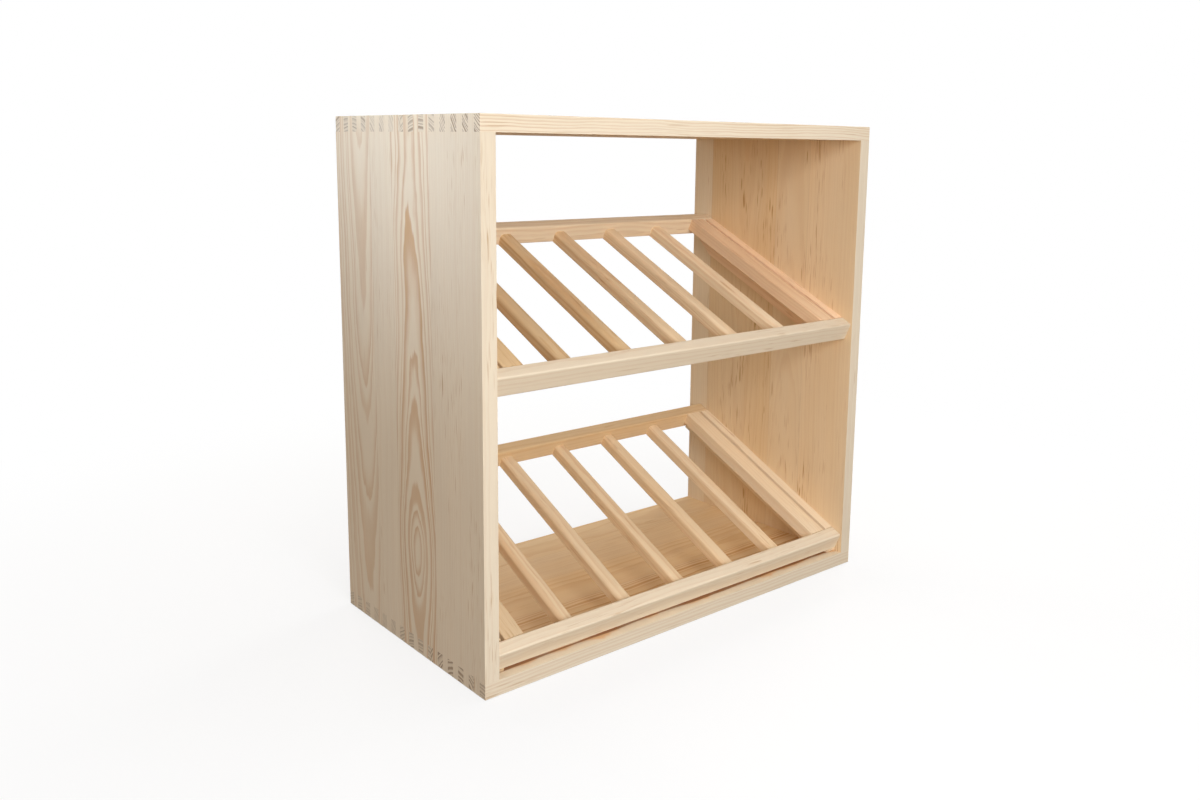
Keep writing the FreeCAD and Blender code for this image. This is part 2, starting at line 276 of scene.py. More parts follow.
# %% Lamps
RACK_MIDDLE = (cad_box[0] + cad_box[1]) / 2
BEAM_RISE = 0.20
ABOVE_LEFT_PANEL = Vector((cad_box[0].x, 0.0, cad_box[1].z + BEAM_RISE))
WIDE_OPEN = 180
LAMPS = (
    dict(name="key", place=(-0.85, -2.37, 1.05), size=1.5, power=54.5, colour=(0.985, 0.995, 1.02)),
    dict(name="left_low", place=(-2.2, -0.2, 0.6), size=1.2, power=6.3, colour=(1.0, 0.86, 0.79)),
    dict(
        name="left_beam", place=(-1.6, 0.0, 0.42), size=0.4, power=1.04, colour=(0.70, 0.83, 1.0),
        aim=ABOVE_LEFT_PANEL, spread=46,
    ),
    dict(name="top", place=(0.1, -0.3, 2.5), size=1.5, power=18, colour=(1.0, 0.99, 0.98)),
    dict(name="right", place=(2.3, 0.4, 1.3), size=1.5, power=31, colour=(1.0, 0.98, 0.95)),
    dict(name="back", place=(0.0, 2.5, 1.1), size=1.5, power=30, colour=(1.0, 0.96, 0.90)),
)


def softbox(name, place, size, power, colour, aim=RACK_MIDDLE, spread=WIDE_OPEN):
    """Square area light that faces a place. A small spread, in degrees, keeps its beam narrow."""
    lamp = bpy.data.lights.new(name, "AREA")
    lamp.shape = "SQUARE"
    lamp.size = size
    lamp.energy = power
    lamp.color = colour
    lamp.spread = math.radians(spread)
    holder = bpy.data.objects.new(name, lamp)
    scene.collection.objects.link(holder)
    holder.location = place
    holder.rotation_euler = (aim - Vector(place)).to_track_quat("-Z", "Y").to_euler()


for lamp in LAMPS:
    softbox(**lamp)
print("lamps", [lamp.name for lamp in bpy.data.lights])

# %% [markdown]
# Pine grain is a cut through a trunk. Its growth rings are long nested tubes about the pith, so one
# formula in three dimensions gives lines on a quarter sawn face, arches and ovals on a flat sawn
# face, and arcs on an end. An image could give one face, but not all six faces of a board at once,
# so the formula is a shader node group.
#
# First the distance from the pith. A trunk is never straight: the pith may sweep away from the face
# or bend towards it in one place, and there the rings close into ovals. Away from the bend they
# run on as a long flame. Noise bends the tubes a little, in long waves along the grain and short
# ones across it.

# %% Distance from the pith
BEND_WAVES = (3.0, 3.0)
BEND_SIZE = 0.013
SWAY_WAVES = (5.0, 0.0)
SWAY_SIZE = 0.018
WOBBLE_WAVES = (13.0, 40.0)
WOBBLE_SIZE = 0.0048
RIPPLE_WAVES = (36.0, 260.0)
RIPPLE_SIZE = 0.0013


def pith_distance(tree, given, along, across, through):
    """Distance of a point from the bent pith, in metres."""
    board = given["Board"]
    seed = given["Seed"]
    run = math_node(tree, "SUBTRACT", along, given["Bow Middle"])
    run = math_node(tree, "DIVIDE", run, given["Bow Reach"])
    near = math_node(tree, "INVERSE_SQRT", math_node(tree, "MULTIPLY_ADD", run, run, 1.0))
    bowed = math_node(tree, "MULTIPLY", math_node(tree, "SUBTRACT", 1.0, near), given["Bow"])
    depth = math_node(tree, "MULTIPLY_ADD", given["Sweep"], along, given["Pith Depth"])
    depth = math_node(tree, "ADD", math_node(tree, "ADD", depth, bowed), through)
    bend = noise_node(tree, board, BEND_WAVES, seed, SOFT)
    depth = math_node(tree, "MULTIPLY_ADD", bend, BEND_SIZE, depth)
    side = math_node(tree, "SUBTRACT", across, given["Pith Across"])
    sway = noise_node(tree, board, SWAY_WAVES, seed, SOFT)
    side = math_node(tree, "MULTIPLY_ADD", sway, SWAY_SIZE, side)
    square = math_node(tree, "MULTIPLY_ADD", side, side, math_node(tree, "MULTIPLY", depth, depth))
    distance = math_node(tree, "SQRT", square)
    for waves, size in ((WOBBLE_WAVES, WOBBLE_SIZE), (RIPPLE_WAVES, RIPPLE_SIZE)):
        noise = noise_node(tree, board, waves, seed)
        distance = math_node(tree, "MULTIPLY_ADD", noise, size, distance)
    return distance


print("rings bend by up to", BEND_SIZE / 2, "m")

# %% [markdown]
# Then the rings. Spring growth is pale and fades slowly into tan summer growth, which ends sharply
# where the next year begins. No two years are alike, so each ring gets its own width and strength.

# %% Late wood of the rings
YEAR_WAVES = 0.6
YEAR_SHIFT = 1.6
LATE_RISE = (0.25, 0.84)
LATE_FALL = (0.86, 1.0)
STRENGTH_LEAST = 0.50
STRENGTH_LUCK = 0.50
PATCH_WAVES = (7.0, 30.0)
PATCH_SIZE = 0.9


def late_wood(tree, given, distance):
    """Share of tan summer growth at a distance from the pith, from 0 to 1."""
    seed = given["Seed"]
    count = math_node(tree, "DIVIDE", distance, given["Ring"])
    width = tree.nodes.new("ShaderNodeTexNoise")
    width.noise_dimensions = "1D"
    width.inputs["Scale"].default_value = YEAR_WAVES
    width.inputs["Detail"].default_value = SOFT
    tree.links.new(math_node(tree, "ADD", count, seed), width.inputs["W"])
    count = math_node(tree, "MULTIPLY_ADD", width.outputs[0], YEAR_SHIFT, count)
    year = math_node(tree, "FRACT", count)
    late = smooth_step(tree, year, *LATE_RISE)
    ending = smooth_step(tree, year, *LATE_FALL)
    late = math_node(tree, "MULTIPLY", late, math_node(tree, "SUBTRACT", 1.0, ending))
    luck = tree.nodes.new("ShaderNodeTexWhiteNoise")
    luck.noise_dimensions = "1D"
    number = math_node(tree, "ADD", math_node(tree, "FLOOR", count), seed)
    tree.links.new(number, luck.inputs["W"])
    strength = math_node(tree, "MULTIPLY_ADD", luck.outputs["Value"], STRENGTH_LUCK, STRENGTH_LEAST)
    patch = noise_node(tree, given["Board"], PATCH_WAVES, seed)
    strength = math_node(tree, "MULTIPLY_ADD", patch, PATCH_SIZE, strength)
    strength = math_node(tree, "MULTIPLY", strength, given["Contrast"])
    late = math_node(tree, "MULTIPLY", late, strength)
    return math_node(tree, "MINIMUM", math_node(tree, "MAXIMUM", late, 0.0), 1.0)


print("a ring rises over", LATE_RISE, "and falls over", LATE_FALL, "of a year")

# %% [markdown]
# Next the colour. Slow clouds and fine fibres make it uneven. Tone moves a board from dark to light,
# warmth from pale sanded pine to honey, and blush towards pink. Warmth drifts along the board, as it
# does in real pine. On an end the rings are greyer, because the open fibres drink the light.

# %% Bare wood
EARLY_WOOD = (0.82, 0.71, 0.55, 1)
LATE_WOOD = (0.63, 0.415, 0.235, 1)
LATE_END = (0.43, 0.32, 0.22, 1)
CLOUD_WAVES = (4.0, 16.0)
CLOUD_SIZE = 0.14
FIBRE_SIZE = 0.12
DRIFT_WAVES = (2.2, 15.0)
DRIFT_SIZE = 1.1
WARMTH_LOSS = (0.05, 0.17, 0.33)
BLUSH_LOSS = (0.0, 0.07, 0.05)


def bare_wood(tree, given, late, fibre):
    """Colour of the rings, with the board's own tone, warmth and blush."""
    board = given["Board"]
    seed = given["Seed"]
    dark = blend_node(tree, given["End Grain"], LATE_WOOD, LATE_END)
    wood = blend_node(tree, late, EARLY_WOOD, dark)
    cloud = noise_node(tree, board, CLOUD_WAVES, seed, FINE)
    level = math_node(tree, "MULTIPLY_ADD", cloud, CLOUD_SIZE, 1.0)
    level = math_node(tree, "MULTIPLY_ADD", fibre, FIBRE_SIZE, level)
    level = math_node(tree, "ADD", level, given["Tone"])
    drift = noise_node(tree, board, DRIFT_WAVES, seed)
    drift = math_node(tree, "MULTIPLY_ADD", drift, DRIFT_SIZE, 1.0)
    warmth = math_node(tree, "MULTIPLY", given["Warmth"], drift)
    shade = tree.nodes.new("ShaderNodeCombineColor")
    for socket, warm, pink in zip(shade.inputs, WARMTH_LOSS, BLUSH_LOSS):
        tint = math_node(tree, "MULTIPLY_ADD", warmth, -warm, 1.0)
        tint = math_node(tree, "MULTIPLY_ADD", given["Blush"], -pink, tint)
        tree.links.new(math_node(tree, "MULTIPLY", level, tint), socket)
    return tinted(tree, wood, shade.outputs[0])


print("early and late wood", EARLY_WOOD[:3], LATE_WOOD[:3])

# %% [markdown]
# Sanded pine is full of short brown marks, where resin canals were cut lengthwise. They are stretched
# noise above a limit, fine dashes and broader flecks, and another noise gathers them in loose flocks.
# One board has more: orange resin patches along the grain, and between them a brown streak of painted
# shadow. It lies on the bottom panel, just under the front rail of the lower tray, which shades it.

# %% Marks, resin and painted shadow
DASH_WAVES = (34.0, 820.0)
DASH_LIMIT = (0.13, 0.27)
DASH_SHARE = 0.7
FLECK_WAVES = (26.0, 300.0)
FLECK_LIMIT = (0.19, 0.30)
FLOCK_WAVES = (5.0, 34.0)
FLOCK_LIMIT = (-0.08, 0.16)
WANDER_WAVES = (5.0, 0.0)
WANDER_SIZE = 0.006
RESIN_AND_SHADOW_LAYERS = (
    dict(
        tint=(0.97, 0.72, 0.48, 1), waves=(17.0, 0.0), detail=FINE, swell=0.050, half=0.007,
        soft=0.008,
    ),
    # The brown streak: painted shadow under the front rail of the lower tray.
    dict(
        tint=(0.42, 0.26, 0.17, 1), waves=(8.0, 0.0), detail=ROUGH, swell=0.012, half=0.0042,
        soft=0.002,
    ),
)


def mark_mask(tree, given):
    """Share of brown marks at a point. End grain has none."""
    board = given["Board"]
    seed = given["Seed"]
    dash = smooth_step(tree, noise_node(tree, board, DASH_WAVES, seed, PLAIN), *DASH_LIMIT)
    fleck = smooth_step(tree, noise_node(tree, board, FLECK_WAVES, seed, PLAIN), *FLECK_LIMIT)
    flock = smooth_step(tree, noise_node(tree, board, FLOCK_WAVES, seed), *FLOCK_LIMIT)
    sides = math_node(tree, "SUBTRACT", 1.0, given["End Grain"])
    marks = math_node(tree, "MAXIMUM", math_node(tree, "MULTIPLY", dash, DASH_SHARE), fleck)
    for share in (flock, sides, given["Marks"]):
        marks = math_node(tree, "MULTIPLY", marks, share)
    return marks


def with_resin_and_shadow(tree, given, across, wood):
    """Wood with orange resin patches along the grain and a brown streak of painted shadow between them.
    """
    board = given["Board"]
    seed = given["Seed"]
    off = math_node(tree, "SUBTRACT", across, given["Resin Place"])
    wander = noise_node(tree, board, WANDER_WAVES, seed)
    off = math_node(tree, "ABSOLUTE", math_node(tree, "MULTIPLY_ADD", wander, WANDER_SIZE, off))
    for layer in RESIN_AND_SHADOW_LAYERS:
        swell = noise_node(tree, board, layer["waves"], seed, layer["detail"])
        half = math_node(tree, "MULTIPLY_ADD", swell, layer["swell"], layer["half"])
        mask = smooth_step(tree, math_node(tree, "SUBTRACT", half, off), 0.0, layer["soft"])
        mask = math_node(tree, "MULTIPLY", mask, given["Resin"])
        wood = blend_node(tree, mask, wood, tinted(tree, wood, layer["tint"]))
    return wood


print("resin layers", len(RESIN_AND_SHADOW_LAYERS))

# %% [markdown]
# Two details are left. Where a face cuts the fibres it shows their open pores. And where two boards of
# a panel meet, the glue shows as a hair line, so each board draws one along both of its edges.

# %% End grain and glue lines
END_TINT = (0.955, 0.95, 0.945, 1)
PORE_WAVES = (800.0, 800.0)
PORE_LIMIT = (0.02, 0.30)
PORE_SHARE = 0.16
PORE_BROWN = (0.46, 0.33, 0.21, 1)
GLUE_HALF = 0.00035
GLUE_SHARE = 0.45
GLUE_BROWN = (0.42, 0.27, 0.15, 1)


def with_end_grain(tree, given, wood):
    """Wood that is duller and full of pores where a face cuts the fibres."""
    pores = smooth_step(tree, noise_node(tree, given["Board"], PORE_WAVES, given["Seed"]), *PORE_LIMIT)
    cut = tinted(tree, wood, END_TINT)
    cut = blend_node(tree, math_node(tree, "MULTIPLY", pores, PORE_SHARE), cut, PORE_BROWN)
    return blend_node(tree, given["End Grain"], wood, cut)


def with_glue(tree, given, across, wood):
    """Wood with a thin dark line at both edges of its board."""
    gaps = []
    for edge in ("Edge Low", "Edge High"):
        gaps.append(math_node(tree, "ABSOLUTE", math_node(tree, "SUBTRACT", across, given[edge])))
    clear = smooth_step(tree, math_node(tree, "MINIMUM", *gaps), 0.0, GLUE_HALF)
    glue = math_node(tree, "MULTIPLY", math_node(tree, "SUBTRACT", 1.0, clear), GLUE_SHARE)
    return blend_node(tree, glue, wood, GLUE_BROWN)


print("glue line", 2 * GLUE_HALF, "m")

# %% [markdown]
# A node group puts the steps together, so that every material can use them with its own values. It
# gives a colour, a roughness and a height for the relief, and late wood, which is harder, stands up
# a little and shines a little more.

# %% The pine node group
# An edge this many metres away draws no glue line.
FAR = 9.0
PINE_INPUTS = {
    "End Grain": 0.0,
    "Seed": 0.0,
    "Pith Across": 0.0,
    "Pith Depth": 0.06,
    "Sweep": 0.0,
    "Bow": 0.0,
    "Bow Middle": 0.0,
    "Bow Reach": 1.0,
    "Ring": 0.0045,
    "Contrast": 0.5,
    "Marks": 0.5,
    "Tone": 0.0,
    "Warmth": 0.0,
    "Edge Low": -FAR,
    "Edge High": FAR,
    "Resin": 0.0,
    "Resin Place": 0.0,
    "Blush": 0.0,
}
FIBRE_WAVES = (34.0, 1500.0)
END_RINGS = 1.1
MARK_TINT = (0.68, 0.52, 0.36, 1)
ROUGHNESS = 0.64
LATE_SHINE = -0.07
FIBRE_ROUGH = 0.14
LATE_RELIEF = 0.5


def pine_group():
    """Node group that gives the colour, roughness and height of a point on a pine board."""
    tree = bpy.data.node_groups.new("pine", "ShaderNodeTree")
    face = tree.interface
    face.new_socket("Board", in_out="INPUT", socket_type="NodeSocketVector")
    for name, value in PINE_INPUTS.items():
        face.new_socket(name, in_out="INPUT", socket_type="NodeSocketFloat").default_value = value
    face.new_socket("Color", in_out="OUTPUT", socket_type="NodeSocketColor")
    face.new_socket("Roughness", in_out="OUTPUT", socket_type="NodeSocketFloat")
    face.new_socket("Height", in_out="OUTPUT", socket_type="NodeSocketFloat")
    given = tree.nodes.new("NodeGroupInput").outputs
    result = tree.nodes.new("NodeGroupOutput").inputs
    split = tree.nodes.new("ShaderNodeSeparateXYZ")
    tree.links.new(given["Board"], split.inputs[0])
    along, across, through = split.outputs

    late = late_wood(tree, given, pith_distance(tree, given, along, across, through))
    extra = math_node(tree, "MULTIPLY", late, END_RINGS)
    late = math_node(tree, "MULTIPLY_ADD", given["End Grain"], extra, late)
    fibre = noise_node(tree, given["Board"], FIBRE_WAVES, given["Seed"], FINE)
    marks = mark_mask(tree, given)
    wood = bare_wood(tree, given, late, fibre)
    wood = blend_node(tree, marks, wood, tinted(tree, wood, MARK_TINT))
    wood = with_resin_and_shadow(tree, given, across, wood)
    wood = with_end_grain(tree, given, wood)
    wood = with_glue(tree, given, across, wood)
    tree.links.new(wood, result["Color"])

    rough = math_node(tree, "MULTIPLY_ADD", late, LATE_SHINE, ROUGHNESS)
    tree.links.new(math_node(tree, "MULTIPLY_ADD", fibre, FIBRE_ROUGH, rough), result["Roughness"])
    height = math_node(tree, "MULTIPLY_ADD", late, LATE_RELIEF, fibre)
    tree.links.new(math_node(tree, "SUBTRACT", height, marks), result["Height"])
    return tree


pine = pine_group()
print("pine group nodes", len(pine.nodes))

# %% [markdown]
# Every board is another cut of the trunk, with axes of its own: along the grain, across it and through
# it. The object's coordinates are turned into these, so that the grain follows the wood. The normal
# says which faces cut the fibres. The bars of the trays lie on a slope, so their axes are turned back
# by the tilt. A tray is lifted out square to the slope, so the line it is lifted along gives the tilt.

# %% Axes of a board
X, Y, Z = 0, 1, 2
lift = next(joint["axis"] for joint in frame["joints"] if joint["name"] == "upper_tray_lift")
TRAY_TILT = math.atan2(-lift[Y], lift[Z])
END_LIMIT = (0.6, 0.95)


def board_axes(tree, along, across, through, tilt):
    """Board coordinates and the share of end grain, from the object's own axes."""
    where = tree.nodes.new("ShaderNodeTexCoord")
    axes = []
    for source, kind in (("Object", "POINT"), ("Normal", "NORMAL")):
        turned = tree.nodes.new("ShaderNodeMapping")
        turned.vector_type = kind
        turned.inputs["Rotation"].default_value = (-tilt, 0, 0)
        tree.links.new(where.outputs[source], turned.inputs["Vector"])
        split = tree.nodes.new("ShaderNodeSeparateXYZ")
        tree.links.new(turned.outputs[0], split.inputs[0])
        axes.append(split.outputs)
    place, normal = axes
    joined = tree.nodes.new("ShaderNodeCombineXYZ")
    for socket, axis in zip(joined.inputs, (along, across, through)):
        tree.links.new(place[axis], socket)
    end = smooth_step(tree, math_node(tree, "ABSOLUTE", normal[along]), *END_LIMIT)
    return joined.outputs[0], end


print("tilt of the trays", round(math.degrees(TRAY_TILT), 3), "degrees")

# %% [markdown]
# With its axes a board becomes a material. The pine group gives the colour and the roughness, and its
# height drives a shallow bump, because sanded grain can just be felt. Moving the surface itself would
# cost many more faces and show no better. The sheen is low, because the wood is bare.

# %% Pine materials
RELIEF_STRENGTH = 0.25
RELIEF_DEPTH = 0.0003
SPECULAR = 0.16


def pine_material(name, along, across, through, tilt=0.0, **values):
    """Pine for one piece. A value is a number, or the name of a face attribute."""
    material = bpy.data.materials.new(name)
    material.use_nodes = True
    tree = material.node_tree
    shader = tree.nodes["Principled BSDF"]
    grain = tree.nodes.new("ShaderNodeGroup")
    grain.node_tree = pine
    board, end = board_axes(tree, along, across, through, tilt)
    tree.links.new(board, grain.inputs["Board"])
    tree.links.new(end, grain.inputs["End Grain"])
    for key, value in values.items():
        socket = grain.inputs[key.replace("_", " ").title()]
        if isinstance(value, str):
            reader = tree.nodes.new("ShaderNodeAttribute")
            reader.attribute_name = value
            tree.links.new(reader.outputs["Fac"], socket)
        else:
            socket.default_value = value
    tree.links.new(grain.outputs["Color"], shader.inputs["Base Color"])
    tree.links.new(grain.outputs["Roughness"], shader.inputs["Roughness"])
    relief = tree.nodes.new("ShaderNodeBump")
    relief.inputs["Strength"].default_value = RELIEF_STRENGTH
    relief.inputs["Distance"].default_value = RELIEF_DEPTH
    tree.links.new(grain.outputs["Height"], relief.inputs["Height"])
    tree.links.new(relief.outputs[0], shader.inputs["Normal"])
    shader.inputs["Specular IOR Level"].default_value = SPECULAR
    return material


print("relief of the grain", RELIEF_DEPTH, "m")

# %% [markdown]
# The four panels are glued up from boards and sanded flush. They could be modelled again board by board,
# but then the finger joints might no longer fit. So each panel starts as a copy of its solid: the
# triangles are merged into plain faces and cut along the glue lines.

# %% Copies of the solids
SAME = 0.00001
MERGE_ANGLE = math.radians(0.5)


def merged_copy(node, name):
    """Copy of a solid, its triangles merged into plain faces. It becomes the active piece."""
    bpy.ops.object.select_all(action="DESELECT")
    piece = bpy.data.objects.new(name, nodes[node].data.copy())
    scene.collection.objects.link(piece)
    bpy.context.view_layer.objects.active = piece
    piece.select_set(True)
    bpy.ops.object.mode_set(mode="EDIT")
    bpy.ops.mesh.select_all(action="SELECT")
    bpy.ops.mesh.remove_doubles(threshold=SAME / 2)
    bpy.ops.mesh.dissolve_limited(angle_limit=MERGE_ANGLE)
    bpy.ops.object.mode_set(mode="OBJECT")
    return piece


def cut_across(axis, place):
    """Cut all faces of the active piece by a plane square to one axis."""
    normal = Vector((0, 0, 0))
    normal[axis] = 1
    bpy.ops.object.mode_set(mode="EDIT")
    bpy.ops.mesh.select_all(action="SELECT")
    bpy.ops.mesh.bisect(plane_co=normal * place, plane_no=normal)
    bpy.ops.object.mode_set(mode="OBJECT")


print("points merge within", SAME / 2, "m")

# %% [markdown]
# Sanding takes the sharpness off every edge. One bevel for the whole copy would open the finger joints,
# so its width is set edge by edge: the outer edges get one that catches the light, and the fingers a
# hair, so that the joints read as thin lines.

# %% Eased edges
OUTER_EASE = 0.0009
FINGER_EASE = 0.00018
EASE_STEPS = 2


def on_outer_edge(first, second):
    """True for an edge that lies on two outer planes of the rack."""
    planes = 0
    for axis in (X, Y, Z):
        for corner in cad_box:
            plane = corner[axis]
            if abs(first[axis] - plane) < SAME and abs(second[axis] - plane) < SAME:
                planes += 1
    return planes > 1


def ease_edges(piece):
    """Bevel the outer edges, and the fingers much less."""
    mesh = piece.data
    weights = mesh.attributes.new("bevel_weight_edge", "FLOAT", "EDGE")
    for edge in mesh.edges:
        first, second = (mesh.vertices[v].co for v in edge.vertices)
        weight = 1.0 if on_outer_edge(first, second) else FINGER_EASE / OUTER_EASE
        weights.data[edge.index].value = weight
    bevel = piece.modifiers.new("ease", "BEVEL")
    bevel.width = OUTER_EASE
    bevel.segments = EASE_STEPS
    bevel.limit_method = "WEIGHT"
    bevel.use_clamp_overlap = True
    bpy.ops.object.modifier_apply(modifier=bevel.name)


print("outer edges", OUTER_EASE, "m, fingers", FINGER_EASE, "m")

# %% [markdown]
# Each board writes its own cut of the trunk on its faces, as attributes that the material reads. So one
# material serves a whole panel, and a board keeps its grain round all its edges. The inner faces of
# the rack get painted warm bounce light: they are made warmer, and some lighter, than the outer ones.
# Values that start with inner_ count there alone.

# %% A panel of boards
BOARD_VALUES = (
    "seed", "pith_across", "pith_depth", "sweep", "bow", "bow_middle", "bow_reach", "ring",
    "contrast", "marks", "tone", "warmth", "edge_low", "edge_high", "resin", "resin_place",
)
BOARD_DEFAULTS = {"bow_reach": 1.0, "ring": 0.0045, "contrast": 0.4, "marks": 0.5}
INNER = "inner_"
# Warmth of an inner face: painted warm bounce light.
PAINTED_BOUNCE_WARMTH = 1.0
FACING = 0.9


def board_at(boards, place):
    """Values of the board that lies at a place across a panel."""
    number = next((n for n, board in enumerate(boards) if place < board["edge"]), len(boards) - 1)
    own = dict(BOARD_DEFAULTS)
    own.update(boards[number])
    own["edge_low"] = boards[number - 1]["edge"] if number else -FAR
    own["edge_high"] = boards[number]["edge"]
    return own


def make_panel(node, along, across, through, boards):
    """Panel of boards, each given by the place of its far edge and its cut of the trunk."""
    piece = merged_copy(node, f"{node}_boards")
    for board in boards[:-1]:
        cut_across(across, board["edge"])
    ease_edges(piece)
    mesh = piece.data
    middle = sum(corner[through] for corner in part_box(node)) / 2
    inward = 1 if middle < RACK_MIDDLE[through] else -1
    for value in BOARD_VALUES:
        mesh.attributes.new(value, "FLOAT", "FACE")
    for face in mesh.polygons:
        own = board_at(boards, face.center[across])
        # On an inner face the warmth and the inner_ tone are painted warm bounce light.
        if face.normal[through] * inward > FACING and (face.center[through] - middle) * inward > 0:
            own["warmth"] = PAINTED_BOUNCE_WARMTH
            own.update({key[len(INNER):]: value for key, value in own.items() if key.startswith(INNER)})
        for value in BOARD_VALUES:
            mesh.attributes[value].data[face.index].value = own.get(value, 0.0)
    mesh.materials.clear()
    links = {value: value for value in BOARD_VALUES}
    mesh.materials.append(pine_material(f"{node}_pine", along, across, through, **links))
    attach(piece, "carcass")
    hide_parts(node)
    print(node, "boards", len(boards), "faces", len(mesh.polygons))


print("values of a board", len(BOARD_VALUES))

# %% [markdown]
# The left panel is what the eye meets first. Its second board from the front was sawn close to a bent
# pith, so it shows nested ovals low down and a flame above them. The board at the back shows arches
# that point down. The other two are plain, with straight grain and resin marks. The right panel is
# seen from inside, where its boards are plain too, with more marks.

# %% Side panels
BACK = cad_box[1].y
LEFT_BOARDS = (
    dict(
        edge=-0.066, seed=3.1, pith_across=-0.320, pith_depth=0.420, contrast=0.14, marks=0.8,
        tone=0.02,
    ),
    dict(
        edge=0.026, seed=17.3, pith_across=-0.020, pith_depth=0.369, bow=0.0215, bow_middle=0.143,
        bow_reach=0.070, sweep=0.012, contrast=1.0, marks=0.2, tone=0.03,
    ),
    dict(
        edge=0.080, seed=12.9, pith_across=0.160, pith_depth=0.520, contrast=0.10, marks=0.6,
        tone=0.03,
    ),
    dict(
        edge=BACK, seed=21.7, pith_across=0.108, pith_depth=0.4015, sweep=-0.058, ring=0.0065,
        contrast=0.62, marks=0.4, tone=0.03,
    ),
)
# The inner warmth and inner tone of these boards are painted bounce light.
RIGHT_BOARDS = (
    dict(
        edge=-0.080, seed=31.2, pith_across=-0.260, pith_depth=-0.260, contrast=0.25, marks=0.4,
        inner_contrast=0.18, inner_marks=1.4, inner_tone=0.11, inner_warmth=0.92,
    ),
    dict(
        edge=-0.014, seed=35.8, pith_across=-0.047, pith_depth=-0.285, sweep=0.045, ring=0.0060,
        contrast=0.70, marks=0.3, inner_contrast=0.18, inner_marks=1.1, inner_tone=0.08,
    ),
    dict(
        edge=0.133, seed=41.3, pith_across=0.055, pith_depth=-0.270, sweep=-0.040, ring=0.0060,
        contrast=0.60, marks=0.4, inner_contrast=0.20, inner_marks=1.4, inner_tone=0.05,
        inner_warmth=1.12,
    ),
    dict(
        edge=BACK, seed=47.7, pith_across=0.250, pith_depth=-0.250, contrast=0.25, marks=0.4,
        inner_contrast=0.16, inner_warmth=0.62, inner_tone=0.10,
    ),
)
make_panel("left_side_panel", Z, Y, X, LEFT_BOARDS)
make_panel("right_side_panel", Z, Y, X, RIGHT_BOARDS)

# %% [markdown]
# In the top and bottom panels the grain runs from side to side, so their ends show between the
# fingers of the side panels. The front board of the top has narrow rings, which hatch those ends. The
# front board of the bottom carries the orange resin patches and the painted shadow under the front
# rail of the lower tray, and the one behind it has strong brown grain. The other bottom boards get
# painted warm bounce light on their inner faces.

# %% Top and bottom panels
TOP_BOARDS = (
    dict(
        edge=-0.085, seed=52.6, pith_across=-0.215, pith_depth=-0.735, ring=0.0030, contrast=0.65,
        tone=0.06,
    ),
    dict(
        edge=0.000, seed=55.1, pith_across=-0.045, pith_depth=-0.600, sweep=0.03, contrast=0.40,
        tone=0.02,
    ),
    dict(edge=0.082, seed=58.8, pith_across=0.140, pith_depth=-0.600, contrast=0.30, tone=0.02),
    dict(edge=BACK, seed=63.4, pith_across=0.130, pith_depth=-0.610, sweep=-0.03, contrast=0.40),
)
# Painted warm bounce light on the inner faces of the bottom boards.
BOTTOM_PAINTED_BOUNCE = dict(inner_warmth=1.25, inner_tone=0.04)
BOTTOM_BOARDS = (
    # Pale inside, with the orange resin patches and the painted shadow under the lower front rail.
    dict(
        edge=-0.149, seed=67.2, pith_across=-0.165, pith_depth=0.120, contrast=0.35, inner_warmth=0.15,
        inner_resin=0.9, resin_place=-0.157,
    ),
    dict(
        edge=-0.050, seed=71.9, pith_across=-0.110, pith_depth=0.030, ring=0.0055, contrast=1.10,
        **BOTTOM_PAINTED_BOUNCE,
    ),
    dict(edge=0.030, seed=75.3, pith_across=-0.030, pith_depth=0.080, contrast=0.40, **BOTTOM_PAINTED_BOUNCE),
    dict(edge=0.105, seed=79.2, pith_across=0.180, pith_depth=0.110, contrast=0.22, **BOTTOM_PAINTED_BOUNCE),
    dict(edge=BACK, seed=84.6, pith_across=0.135, pith_depth=0.080, contrast=0.28, **BOTTOM_PAINTED_BOUNCE),
)
make_panel("top_panel", X, Y, Z, TOP_BOARDS)
make_panel("bottom_panel", X, Y, Z, BOTTOM_BOARDS)

# %% [markdown]
# Rails, slats and bearers are single bars, so one cut of the trunk is enough for each. Their solids
# have rounded edges made of narrow flat strips. A copy with smooth shading, in which the broad faces
# set the normals, lets the light roll over the edge as it does on planed and sanded wood.

# %% A bar
BAR_AXES = {"rail": (X, Y, Z), "slat": (Y, X, Z), "bearer": (Y, Z, X)}
SMOOTH_ANGLE = math.radians(32)
LARGE_FACES_LEAD = 100


def finish_bar(node, **values):
    """Smooth copy of a bar in its own pine, which rides on its tray or on the carcass."""
    kind = next(k for k in BAR_AXES if k in node)
    piece = merged_copy(node, f"{node}_bar")
    bpy.ops.object.shade_smooth_by_angle(angle=SMOOTH_ANGLE)
    even = piece.modifiers.new("even", "WEIGHTED_NORMAL")
    even.keep_sharp = True
    even.weight = LARGE_FACES_LEAD
    bpy.ops.object.modifier_apply(modifier=even.name)
    piece.data.materials.clear()
    piece.data.materials.append(pine_material(f"{node}_pine", *BAR_AXES[kind], TRAY_TILT, **values))
    level = node.split("_")[0]
    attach(piece, "carcass" if kind == "bearer" else f"{level}_tray")
    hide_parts(node)


bars = [node for node in nodes if any(kind in node and "screws" not in node for kind in BAR_AXES)]
print("bars", len(bars))
